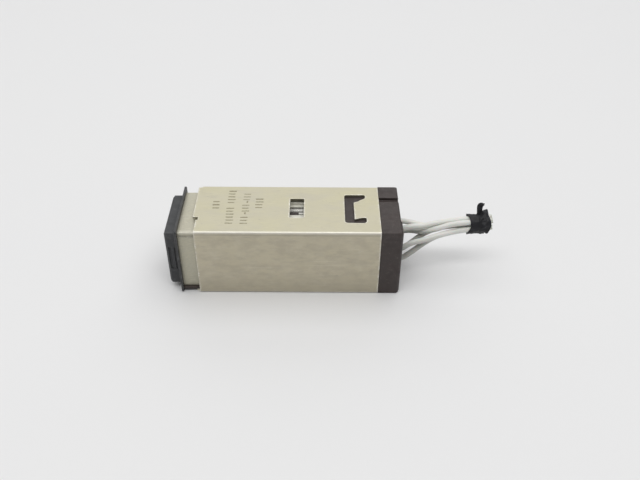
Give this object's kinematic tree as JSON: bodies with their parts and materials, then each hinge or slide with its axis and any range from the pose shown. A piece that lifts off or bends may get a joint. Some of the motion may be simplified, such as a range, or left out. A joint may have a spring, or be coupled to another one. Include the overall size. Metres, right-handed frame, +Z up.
{
  "type": "plug in relay",
  "caption": "Square sleeve-mounted plug-in relay with a lighted push cap, bezel flange, front clamp screws, rear socket block and short taped leads.",
  "frame": {"origin": "centre of the panel seat, the back face of the bezel flange, on the module's axis", "axes": "+X rearwards along the module to its leads, +Y across it, +Z up; the push cap faces -X"},
  "size_m": [0.0752, 0.018, 0.0194],
  "materials": {
    "sleeve_metal": "satin pale gold conversion coating, worn and lightly scratched",
    "shell_metal": "dull grey-green metal",
    "black_metal": "matt black paint on sheet metal",
    "black_plastic": "fine-grained black moulding",
    "smoked_lens": "dark smoked lens",
    "brown_plastic": "dark brown moulding",
    "white_plastic": "plain off-white moulding",
    "header_plastic": "dark green glass-filled moulding",
    "bobbin_plastic": "natural tan moulding",
    "copper_wire": "enamelled copper turns",
    "soft_iron": "nickel-plated soft iron",
    "plated_steel": "plated steel",
    "spring_steel": "bright spring steel",
    "contact_gold": "gold-plated contact metal",
    "lamp_glass": "clear lamp glass",
    "lead_jacket": "white wire insulation",
    "tinned_copper": "cut tinned strands",
    "black_tape": "black lacing tape with a slight sheen"
  },
  "bodies": {
    "housing": {"bezel_flange": "black_metal", "upper_shell": "shell_metal", "lower_shell": "shell_metal", "bottom_rail": "brown_plastic", "guide_pads": "brown_plastic", "travel_stop": "brown_plastic", "stop_strip": "plated_steel", "bulkhead": "header_plastic", "button_contacts": "contact_gold", "yoke": "soft_iron", "coil_core": "soft_iron", "coil_bobbin": "bobbin_plastic", "coil_winding": "copper_wire", "armature_pin": "plated_steel", "card_guide": "bobbin_plastic", "contact_base": "header_plastic", "contact_closed": "contact_gold", "contact_open": "contact_gold", "header": "header_plastic", "header_pins": "contact_gold", "shell_rivets": "plated_steel"},
    "carriage": {"carriage_plate": "black_plastic", "detent_springs": "spring_steel", "lamp_contacts": "contact_gold", "plunger": "bobbin_plastic", "bridge_contact": "contact_gold", "return_spring": "spring_steel"},
    "cap": {"cap_shell": "black_plastic", "cap_lens": "smoked_lens", "light_divider": "white_plastic", "lamp_block": "black_plastic", "lamps": "lamp_glass"},
    "armature": {"armature": "soft_iron"},
    "card": {"pusher_card": "bobbin_plastic"},
    "contact_arm": {"contact_arm": "contact_gold"},
    "sleeve": {"mounting_sleeve": "sleeve_metal", "socket_block": "brown_plastic", "socket_contacts": "contact_gold", "cavity_plugs": "white_plastic", "clamp_nut_top": "plated_steel", "clamp_nut_bottom": "plated_steel", "lead_a": "lead_jacket", "lead_b": "lead_jacket", "lead_c": "lead_jacket", "lead_d": "lead_jacket", "lead_e": "lead_jacket", "lead_f": "lead_jacket", "lead_strands": "tinned_copper", "tape_wrap": "black_tape", "tape_knot": "black_tape", "tape_tail": "black_tape"},
    "screw_top": {"clamp_screw_top": "plated_steel", "screw_clip_top": "spring_steel"},
    "screw_bottom": {"clamp_screw_bottom": "plated_steel", "screw_clip_bottom": "spring_steel"}
  },
  "joints": [
    {"name": "press", "type": "slide", "parent": "housing", "child": "carriage", "axis": [1, 0, 0], "range_m": [0, 0.002], "stiffness_N_per_m": 500, "springref_m": -0.0004, "deforming": ["return_spring"]},
    {"name": "cap_pull", "type": "slide", "parent": "carriage", "child": "cap", "axis": [-1, 0, 0], "range_m": [0, 0.008]},
    {"name": "armature_swing", "type": "hinge", "parent": "housing", "child": "armature", "pos_m": [0.0156, 0, -0.0045], "axis": [0, 1, 0], "range_deg": [0, 3.01], "stiffness_Nm_per_rad": 0.002, "springref_deg": -0.57},
    {"name": "card_slide", "type": "slide", "parent": "housing", "child": "card", "axis": [1, 0, 0], "range_m": [0, 0.00044]},
    {"name": "contact_swing", "type": "hinge", "parent": "housing", "child": "contact_arm", "pos_m": [0.0287, 0, -0.0039], "axis": [0, 1, 0], "range_deg": [0, 3.01]},
    {"name": "sleeve_slide", "type": "slide", "parent": "housing", "child": "sleeve", "axis": [1, 0, 0], "range_m": [-0.0022, 0.0018]},
    {"name": "screw_turn_top", "type": "hinge", "parent": "housing", "child": "screw_top", "pos_m": [0.0096, 0.0024, 0.00635], "axis": [1, 0, 0], "range_deg": [-1853, 2264]},
    {"name": "screw_turn_bottom", "type": "hinge", "parent": "housing", "child": "screw_bottom", "pos_m": [0.0096, -0.0024, -0.00635], "axis": [1, 0, 0], "range_deg": [-1853, 2264]}
  ],
  "couplings": [
    {"joint": "armature_swing", "follows": "card_slide", "rad_per_m": 119},
    {"joint": "contact_swing", "follows": "card_slide", "rad_per_m": 119},
    {"joint": "screw_turn_top", "follows": "sleeve_slide", "rad_per_m": -17952},
    {"joint": "screw_turn_bottom", "follows": "sleeve_slide", "rad_per_m": -17952}
  ]
}
